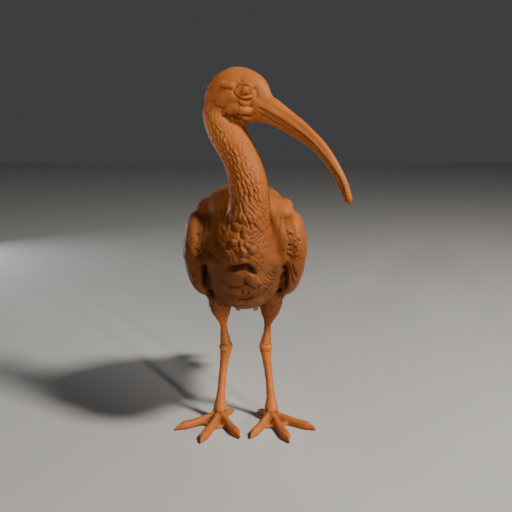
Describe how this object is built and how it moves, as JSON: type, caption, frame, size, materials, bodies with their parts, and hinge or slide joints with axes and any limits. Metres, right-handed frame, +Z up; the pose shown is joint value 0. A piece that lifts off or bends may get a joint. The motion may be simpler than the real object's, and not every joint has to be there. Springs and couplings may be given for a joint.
{
  "type": "ibis sculpture",
  "caption": "Tabletop statuette of a standing wading bird with a long down-curved bill, head turned to its left, carved feathers and webbed toes, in bare terracotta.",
  "frame": {"origin": "on the ground under the middle of the bird's box, between and a little ahead of the feet", "axes": "+Z up, -Y the way the breast faces, +X to the bird's left, the side that its bill points to"},
  "size_m": [0.148, 0.2298, 0.317],
  "materials": {
    "terracotta": "bare fired clay, burnished to a soft satin"
  },
  "bodies": {
    "root": {"ibis": "terracotta"}
  },
  "joints": []
}
